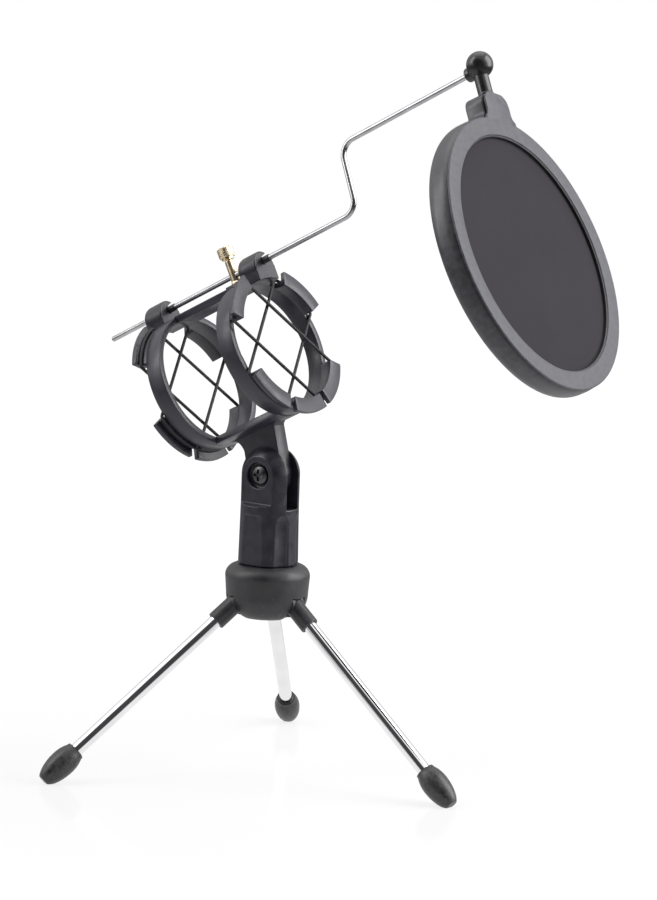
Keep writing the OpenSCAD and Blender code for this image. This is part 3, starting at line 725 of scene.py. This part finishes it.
HOOP_RI, HOOP_RO, FLANGE_R = 28.3, 31.3, 34.6
HOOP_BACK, HOOP_FRONT, RING_FACE = 17.5, 25.8, 31.5
LIP_BACK = RING_FACE - 2.3
TOOTH_RI, GROOVE_R = HOOP_RI - 0.6, HOOP_RO - 0.25
DIAGONAL_HALF, LOW_HALF = 20.4, 19.0
BRIDGE_RO = HOOP_RO + 0.5
RING_RISE = 51.2  # the rings' axis, up from the tilt pivot


def hoop():
    """A plain hoop with a tooth on each diagonal and at the bottom, facing +Z."""
    shapes = [softened(revolve([(HOOP_RI, HOOP_BACK), (HOOP_RO, HOOP_BACK), (HOOP_RO, HOOP_FRONT),
                                (HOOP_RI, HOOP_FRONT)], 128), 0.45)]
    tooth = [(HOOP_RI + 0.3, HOOP_FRONT - 2), (GROOVE_R, HOOP_FRONT - 2), (GROOVE_R, LIP_BACK),
             (FLANGE_R, LIP_BACK), (FLANGE_R, RING_FACE), (TOOTH_RI, RING_FACE),
             (TOOTH_RI, RING_FACE - 3)]
    for middle_angle, half in [(a, DIAGONAL_HALF) for a in range(45, 360, 90)] + [(270, LOW_HALF)]:
        shapes.append(softened(revolve(tooth, 16, 2 * half, middle_angle - half), 0.4))
    return shapes


CLIP_R, CLIP_Y, CLIP_LEN, CLIP_ROUND = 7.0, 34.3, 11.9, 3.5
NECK_HALF, NECK_LEN = 6.8, 7.9
HOOK_LEN, HOOK_TURN, HOOK_PLAY = 3.5, 25, 0.15
FRONT_CLIP_Z, REAR_CLIP_Z = 33.2, -25.5
ROD_RISE = 36.65  # the rod's axis, up from the rings' axis
SLEEVE_R, SLEEVE_BACK, SLEEVE_AHEAD = 1.6, 9.5, 4.0


def clip(face):
    """A round boss on a neck, its front face at that Z. Its eye for the rod opens there as a hook."""
    back, edge = face - CLIP_LEN, CLIP_R - CLIP_ROUND
    boss = revolve([(0, back), *arc(edge, back + CLIP_ROUND, CLIP_ROUND, CLIP_ROUND, -90, 0, 8),
                    *arc(CLIP_R - 0.8, face - 0.8, 0.8, 0.8, 0, 90, 5), (0, face)], 64)
    neck = block((-NECK_HALF, HOOP_RI - 4, face - NECK_LEN), (NECK_HALF, CLIP_Y, face))
    half = SLEEVE_R + HOOK_PLAY
    start = face - HOOK_LEN
    eye = rod(SLEEVE_R + 0.12, back - 1, start + 0.5, 32)
    mouth = rod(half, start, face + 1, 32)
    channel = turned(block((0, -half, start), (2 * CLIP_R, half, face + 1)), HOOK_TURN)
    cuts = [rod(HOOP_RI + 0.3, back - 1, face + 1, 128)]
    cuts += [turned(c, at=(0, ROD_RISE, 0)) for c in (eye, mouth, channel)]
    return moulded([turned(boss, at=(0, CLIP_Y, 0)), neck], cuts, cell=0.16, passes=3)


piece("front_hoop_body", together(*hoop()), RING, "cradle", BLACK, ["front_hoop"])
piece("front_clip", clip(FRONT_CLIP_Z), RING, "cradle", BLACK, crease=0)
piece("rear_hoop_body", together(*[mirrored(s) for s in hoop()]), RING, "cradle", BLACK,
      ["rear_hoop"])
piece("rear_clip", clip(REAR_CLIP_Z), RING, "cradle", BLACK, crease=0)


def stem():
    """A plate that spreads from the tongue in the fork up to the rings."""
    tongue_r, half = 9.2, 3.9
    top = RING_RISE - BRIDGE_RO + 0.6
    outline = [*arc(0, 0, tongue_r, tongue_r, 180, 360, 28), (10.2, 3.5), (13.4, top - 1.6),
               (15.5, top), (-15.5, top), *reversed(arc(-12.6, 13.4, 5.4, 6.6, 0, 90, 8)),
               (-8.2, 9.5)]
    return softened(across(prism(outline, -half, half)), 0.5)


def bridge(middle_angle, half):
    """A wide strip that joins the two hoops along one side."""
    outline = [(HOOP_RI + 0.02, -HOOP_BACK - 1), (BRIDGE_RO, -HOOP_BACK - 1),
               (BRIDGE_RO, HOOP_BACK + 1), (HOOP_RI + 0.02, HOOP_BACK + 1)]
    return softened(revolve(outline, 16, 2 * half, middle_angle - half), 0.45)


POST_Z, POST_R, POST_LOW, POST_HIGH, PAD_HALF = 15.2, 2.0, 32.6, 44.0, 4.0


def post_pad():
    """The flat on the upper bridge that the brass post stands on."""
    low = (-PAD_HALF, HOOP_RO - 1, POST_Z - PAD_HALF)
    return softened(block(low, (PAD_HALF, POST_LOW, HOOP_BACK + 1)), 0.4)


piece("stem", stem(), TILT, "cradle", BLACK, ["stem_bracket"])
piece("low_bridge", bridge(270, 18), RING, "cradle", BLACK)
piece("high_bridge", together(bridge(90, 15), post_pad()), RING, "cradle", BLACK,
      ["top_bridge"])


CHORD_IN, CORD_R, CORD_STEP, BRAID_DEPTH = 12.2, 0.75, 0.4, 0.05
CORD_OUT = GROOVE_R + CORD_R + 0.1
CORD_LEVELS = {45: 28.4, 135: 26.7}  # how far each loop is turned, and its height


def braid(along, around):
    """The relief of a braided sleeve: two sets of strands that wind opposite ways."""
    strands = max(math.sin(around * 4 + along * 4.2), math.sin(around * 4 - along * 4.2))
    return BRAID_DEPTH * (strands - 1)


def elastic(turn, z):
    """One loop of braided cord: two taut chords, and an arc round a tooth at each end."""
    half = math.degrees(math.acos(CHORD_IN / CORD_OUT))
    high = CORD_OUT * math.sin(math.radians(half))
    steps = int(2 * high / CORD_STEP)
    chord = [(CHORD_IN, -high + 2 * high * i / steps) for i in range(1, steps)]
    bend_steps = int(CORD_OUT * math.radians(180 - 2 * half) / CORD_STEP)
    bend = arc(0, 0, CORD_OUT, CORD_OUT, half, 180 - half, bend_steps)
    path = [Vector((sign * x, sign * y, 0)) for sign in (1, -1) for x, y in chord + bend]
    for _ in range(5):
        path = [(path[i - 1] + path[i] * 2 + path[(i + 1) % len(path)]) / 4 for i in range(len(path))]
    return turned(tube(path, CORD_R, 16, True, braid), turn, at=(0, 0, z))


def elastics():
    """The two crossing loops of one hoop."""
    return [elastic(turn, z) for turn, z in CORD_LEVELS.items()]


piece("front_cords", together(*elastics()), RING, "cradle", CORD, ["front_elastics"],
      crease=0)
piece("rear_cords", together(*[mirrored(s) for s in elastics()]), RING, "cradle", CORD,
      ["rear_elastics"], crease=0)


POST_EYE_R, POST_FLARE = 1.35, 0.35
THUMB_TIP, THUMB_HEAD, THUMB_R, THUMB_T = ROD_RISE + POST_EYE_R, 44.5, 3.65, 5.5
THREAD_R, THREAD_DEPTH, THREAD_PITCH = 1.45, 0.22, 0.7
KNURL_FLOOR, KNURL_DEPTH, KNURL_COUNT, KNURL_LEAN = 0.22, 0.14, 15, 3.6


def post():
    """The brass post that the rod passes through, drawn along Z from the pad."""
    height = POST_HIGH - POST_LOW
    flared = POST_R + POST_FLARE
    body = revolve([(0, -1), (flared, -1), (flared, 0.9), (POST_R, 1.3), (POST_R, height - 0.4),
                    (POST_R - 0.4, height), (0, height)], 48)
    eye = turned(rod(POST_EYE_R, -4, 4, 32), 90, "X")
    return moulded([body], [turned(eye, at=(0, 0, ROD_RISE - POST_LOW))], cell=0.14, passes=2)


def threaded(low, high):
    """The thumb screw's shank, with a thread up to its head."""
    thread = [(0, low), (THREAD_R - 0.5, low)]
    for i in range(int((high - low - 0.6) / THREAD_PITCH)):
        z = low + 0.3 + THREAD_PITCH * i
        thread += [(THREAD_R - THREAD_DEPTH, z), (THREAD_R, z + THREAD_PITCH / 2)]
    return revolve([*thread, (THREAD_R - 0.2, high), (0, high)], 32)


def knurl(knob):
    """Presses a diamond pattern into the side of the thumb screw's head."""
    for v in knob.verts:
        r = math.hypot(v.co.x, v.co.y)
        if r <= THUMB_R - 0.05:
            continue
        t = math.atan2(v.co.y, v.co.x) * KNURL_COUNT
        lean = v.co.z * KNURL_LEAN
        ridge = abs(math.sin(t + lean)) + abs(math.sin(t - lean))
        scale = (THUMB_R - KNURL_FLOOR + KNURL_DEPTH * ridge) / r
        v.co.x *= scale
        v.co.y *= scale


def thumb():
    """A thumb screw: a threaded shank, a neck, and a knurled head with a shallow dish on top."""
    rows, around = 22, 120
    head = THUMB_HEAD - POST_LOW
    top = head + THUMB_T
    neck_r = THUMB_R - 0.8
    side = [(THUMB_R, head + 1.2 + (THUMB_T - 1.5) * i / rows) for i in range(rows + 1)]
    knob = revolve([(0, head), (neck_r, head), (neck_r, head + 0.9), (THUMB_R - 0.3, head + 0.9),
                    *side, (THUMB_R - 0.4, top), (THUMB_R - 1.2, top), (THUMB_R - 1.5, top - 0.2),
                    (0, top - 0.2)], around)
    knurl(knob)
    return together(threaded(THUMB_TIP - POST_LOW, head), knob)


POST = RING @ axes((0, POST_LOW * MM, POST_Z * MM), (0, 1, 0), (0, 0, 1))
piece("clamp_pillar", post(), POST, "cradle", BRASS, ["clamp_post"], crease=0)
piece("thumb_knob", thumb(), POST, "thumb_screw", BRASS, ["thumb_screw"], crease=40)


# ---- rod -----------------------------------------------------------------------------------------

ROD_R, BEND_R = 1.25, 7.0
ROD_BACK, CRANK_AHEAD, CRANK_H, BALL_AHEAD = 62.0, 89.0, 31.5, 168.2


def sleeves():
    """A soft liner for each eye, a little fatter at its ends."""
    wall_r, lip = SLEEVE_R - 0.02, 0.12
    made = []
    for z in (REAR_CLIP_Z, FRONT_CLIP_Z):
        low, high = z - SLEEVE_BACK, z + SLEEVE_AHEAD
        made.append(revolve([(ROD_R + 0.03, low), (wall_r - lip, low), (wall_r, low + lip),
                             (wall_r, high - lip), (wall_r - lip, high), (ROD_R + 0.03, high)], 32))
    return together(*made)


def nose(along, around):
    """Takes the sharp edge off the end of the rod."""
    return -0.4 if along < 0.2 else 0


def bent_rod():
    """A steel rod with two right-angle bends."""
    bend, crank = BEND_R, CRANK_AHEAD
    path = [(0, -ROD_BACK), (0, -ROD_BACK + 0.4), (0, -ROD_BACK + 30), (0, crank - bend),
            *arc(bend, crank - bend, bend, bend, 171, 90, 9),
            *arc(CRANK_H - bend, crank + bend, bend, bend, -90, 0, 10),
            (CRANK_H, BALL_AHEAD - 30), (CRANK_H, BALL_AHEAD + 1)]
    return tube([(0, y, z) for y, z in path], ROD_R, 40, relief=nose)


piece("rod_liners", sleeves(), ROD, "rod_sleeves", RUBBER, ["rod_sleeves"])
piece("rod_bar", bent_rod(), ROD, "bent_rod", ROD_STEEL, ["bent_rod"])

BALL_R, BALL_RISE, BALL_SET = 5.8, 1.9, 0.8
COLLAR_R, COLLAR_LEN, COLLAR_EDGE = 3.2, 6.4, 0.6
FILTER_R, FILTER_HANG = 61.2, 85.5
TAB_TOP = FILTER_R + 11.7
STEM_R, STEM_LEN = 3.2, FILTER_HANG - TAB_TOP - 0.2
PLUG_R, PLUG_LEN = 2.6, 8.5


def ball_joint():
    """The ball on the rod's end, its collar and the stem that hangs from it, in one moulding."""
    sphere = turned(ball(BALL_R), at=(0, BALL_RISE, BALL_SET))
    edge = COLLAR_EDGE
    rounded = arc(COLLAR_R - edge, -COLLAR_LEN + edge, edge, edge, -90, 0, 4)
    collar = revolve([(0, -COLLAR_LEN), (COLLAR_R - edge, -COLLAR_LEN), *rounded, (COLLAR_R, 0),
                      (0, 0)], 48)
    brim, end = STEM_R + 0.25, STEM_LEN + PLUG_LEN
    hanger = revolve([(0, 0), (STEM_R, 0), (STEM_R, STEM_LEN - 1.0), (brim, STEM_LEN - 0.8),
                      (brim, STEM_LEN), (PLUG_R, STEM_LEN), (PLUG_R, end), (0, end)], 48)
    bore = rod(ROD_R + 0.1, -COLLAR_LEN - 1, -COLLAR_LEN + 1, 32)
    return moulded([sphere, collar, turned(hanger, 90, "X")], [bore], cell=0.17, passes=4)


piece("ball_and_stem", ball_joint(), BALL, "ball_post", GLOSS, ["ball_post"], crease=0)


# ---- filter --------------------------------------------------------------------------------------

HALF_T, OPEN_R, WALL_RI = 5.6, 52.0, 57.9
SEAM_Z, SEAT_Z, CLOTH_Z, MESH_R = 4.6, 3.8, 3.6, 57.5
FACE_R, RIM_EDGE, RIM_STEPS = FILTER_R - 0.5, 0.6, 192
TAB_HALF, TAB_CORNER, TAB_FLARE = 9.1, 5.5, 3.2


def tab_outline(shrink=0):
    """The tab's outline: round upper corners, and a flare where it meets the rim."""
    half, top, corner = TAB_HALF - shrink, TAB_TOP - shrink, TAB_CORNER - shrink
    foot_y = FILTER_R - 5
    right = [*arc(half + TAB_FLARE, FILTER_R + 2.9, TAB_FLARE, TAB_FLARE, 250, 180, 6),
             *arc(half - corner, top - corner, corner, corner, 0, 90, 10)]
    return [(half + 3, foot_y), *right, *[(-x, y) for x, y in reversed(right)], (-half - 3, foot_y)]


def front_ring():
    """The thin face ring with the front of the tab, a little smaller than the shell behind it."""
    edge = RIM_EDGE
    ring = revolve([(OPEN_R, SEAT_Z), (WALL_RI, SEAT_Z), (WALL_RI, SEAM_Z), (FACE_R - 1.0, SEAM_Z),
                    (FACE_R, SEAM_Z + 0.15),
                    *arc(FACE_R - edge, HALF_T - edge, edge, edge, 0, 90, 5),
                    *arc(OPEN_R + 1.1, HALF_T - edge, edge, edge, 90, 180, 5),
                    (OPEN_R, HALF_T - 0.9)], RIM_STEPS)
    tab = softened(prism(tab_outline(), SEAM_Z + 0.1, HALF_T - 0.02), 0.35, 2, 40)
    return together(ring, tab)


def opening_wall():
    """A near-black ring over the wall of the front opening: painted shade for the shadow that falls inside it."""
    low, high = SEAT_Z - 0.1, HALF_T - 0.75
    return revolve([(OPEN_R - 0.25, low), (OPEN_R + 0.1, low), (OPEN_R + 0.1, high),
                    (OPEN_R - 0.1, high)], RIM_STEPS)


def rear_ring():
    """The deep rear shell that the meshes sit in, with the block that the stem plugs into.

    Its side bulges, and a core closes the gap between the block and the front of the tab.
    """
    r = FILTER_R - 0.05
    ring = revolve([(OPEN_R, -SEAT_Z), (WALL_RI, -SEAT_Z), (WALL_RI, SEAM_Z - 0.1),
                    *arc(r - 1.5, SEAM_Z - 4.0, 1.5, 3.9, 90, 0, 10),
                    *arc(r - 2.6, -HALF_T + 4.2, 2.6, 4.2, 0, -90, 10),
                    *arc(OPEN_R + RIM_EDGE, -HALF_T + RIM_EDGE, RIM_EDGE, RIM_EDGE, -90, -180, 4)],
                   RIM_STEPS)
    tab = softened(prism(tab_outline(0.15), -HALF_T + 0.4, SEAM_Z - 1.0), 0.6, 3, 40)
    core = prism(tab_outline(1.4), 0, SEAM_Z + 0.05)
    return together(ring, tab, core)


def woven_disc(z):
    """Mesh cloth drawn tight over a ring."""
    rings, around = 30, 128
    bm = bmesh.new()
    centre = bm.verts.new((0, 0, z))
    last = None
    for k in range(1, rings + 1):
        r = MESH_R * k / rings
        now = [bm.verts.new((x, y, z)) for x, y in arc(0, 0, r, r, 0, 360, around)[:-1]]
        for i in range(around):
            j = (i + 1) % around
            bm.faces.new([last[i], now[i], now[j], last[j]] if last else [centre, now[i], now[j]])
        last = now
    return bm


WEAVE, WAVE_BAND = 0.55, 0.314  # the threads' spacing, and a wave texture's bands at scale 1


def threads(tree, coords, direction):
    """One set of parallel threads."""
    wave = tree.nodes.new("ShaderNodeTexWave")
    wave.bands_direction = direction
    wave.inputs["Scale"].default_value = WAVE_BAND / (WEAVE * MM)
    wave.inputs["Distortion"].default_value = 0.6
    wave.inputs["Detail"].default_value = 1.0
    link(tree, coords, wave.inputs["Vector"])
    return wave.outputs["Fac"]


def combined(tree, operation, first, second):
    """Two values, brought together by a Math node."""
    node = tree.nodes.new("ShaderNodeMath")
    node.operation = operation
    link(tree, first, node.inputs[0])
    link(tree, second, node.inputs[1])
    return node.outputs["Value"]


def cloth(name, dark, light):
    """Fine woven nylon: two sets of threads that cross, seen as a soft pattern with a raised weave."""
    material = bpy.data.materials.new(name)
    material.use_nodes = True
    tree = material.node_tree
    shader = tree.nodes["Principled BSDF"]
    coords = tree.nodes.new("ShaderNodeTexCoord").outputs["Object"]
    weave = combined(tree, "MAXIMUM", threads(tree, coords, "X"), threads(tree, coords, "Y"))
    drift = spread(tree, noise(tree, coords, 30), 0.0, 0.25)
    pattern = combined(tree, "ADD", spread(tree, weave, 0.0, 0.75, (0.2, 1.0)), drift)
    link(tree, blend(tree, pattern, dark, light), shader.inputs["Base Color"])
    shader.inputs["Roughness"].default_value = 0.75
    shader.inputs["Specular IOR Level"].default_value = 0.2
    emboss(tree, shader, weave, 0.4, 0.05)
    return material


NYLON = cloth("nylon_mesh", (0.0102, 0.0087, 0.0114), (0.0270, 0.0230, 0.0298))
piece("filter_face", front_ring(), FILTER, "filter", FACE_GREY,
      ["filter_front_ring"])
# a thin ring of painted shade over the opening's wall
piece("opening_wall", opening_wall(), FILTER, "filter", PAINTED_SHADE)
# the shell takes the darker copy of the face's plastic, as painted shade
piece("filter_shell", rear_ring(), FILTER, "filter", SHELL_GREY_PAINTED_SHADE,
      ["filter_rear_ring"])
for side, z in (("front", CLOTH_Z), ("rear", -CLOTH_Z)):
    woven = piece(f"{side}_cloth", woven_disc(z), FILTER, "filter", NYLON, [f"{side}_mesh"],
                  crease=0)


# ---- what stays as CAD made it -------------------------------------------------------------------

CAD_FINISH = {
    "hub_base_plate": HUB, "base_plate_screw": CHROME, "leg_pivot_pins": CHROME, "hub_stud": CHROME,
    # the spacer takes the shell's darker copy of the face's plastic, as painted shade
    "thread_adapter": BRASS, "tilt_nut": STEEL, "mesh_spacer": SHELL_GREY_PAINTED_SHADE,
}
for node, finish in CAD_FINISH.items():
    shown = frame["nodes"][node]
    shown.data.materials.clear()
    shown.data.materials.append(finish)
